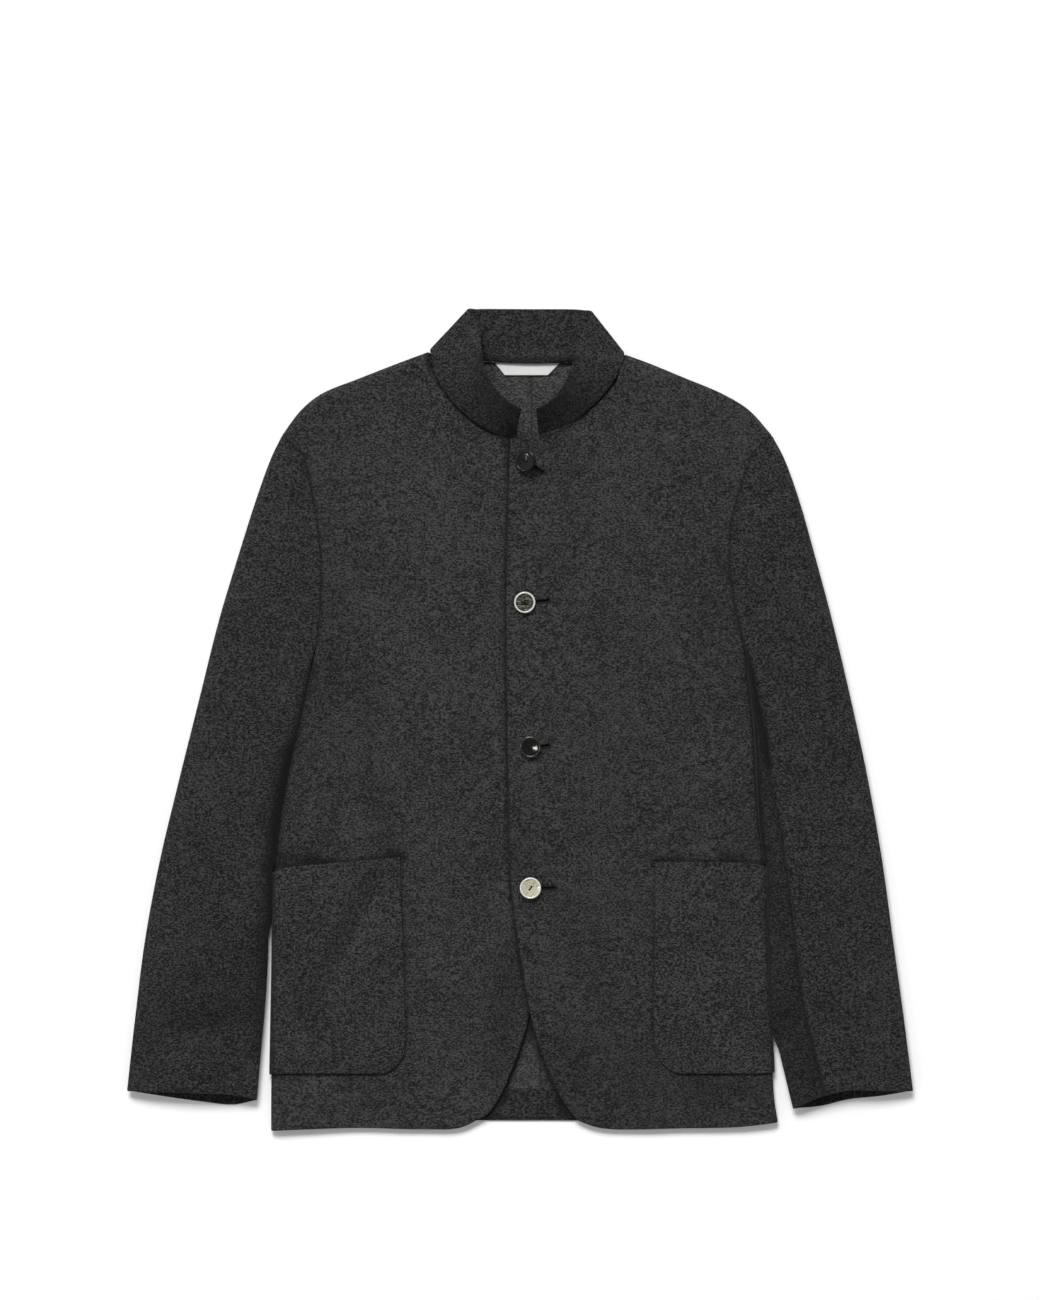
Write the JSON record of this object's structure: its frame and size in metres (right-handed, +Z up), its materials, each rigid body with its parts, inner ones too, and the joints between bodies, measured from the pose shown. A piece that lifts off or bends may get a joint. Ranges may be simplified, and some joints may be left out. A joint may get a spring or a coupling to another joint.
{
  "type": "mao jacket",
  "caption": "Charcoal wool mao jacket laid flat on its back, with a standing band collar, lapped front, dished buttons and patch pockets.",
  "frame": {"origin": "centre of the jacket's bounding box in plan, on the surface that it lies on", "axes": "+X towards the wearer's left, +Y towards the collar, +Z up out of the fronts"},
  "size_m": [0.7466, 0.7819, 0.0311],
  "materials": {
    "wool": "brushed charcoal wool flannel, matt, flecked light and dark",
    "wool_inside": "reverse of the same wool, a little lighter and smoother",
    "label_tape": "plain off-white woven tape, bare",
    "horn": "polished dark horn-effect"
  },
  "bodies": {
    "root": {"front_left": "wool", "front_right": "wool", "back_left": "wool_inside", "back_right": "wool_inside", "back_hem_turnup": "wool", "sleeve_left_top": "wool", "sleeve_left_under": "wool", "sleeve_right_top": "wool", "sleeve_right_under": "wool", "collar": "wool", "pocket_left": "wool", "pocket_right": "wool", "neck_label": "label_tape", "button_1": "horn", "button_2": "horn", "button_3": "horn", "button_4": "horn"}
  },
  "joints": []
}
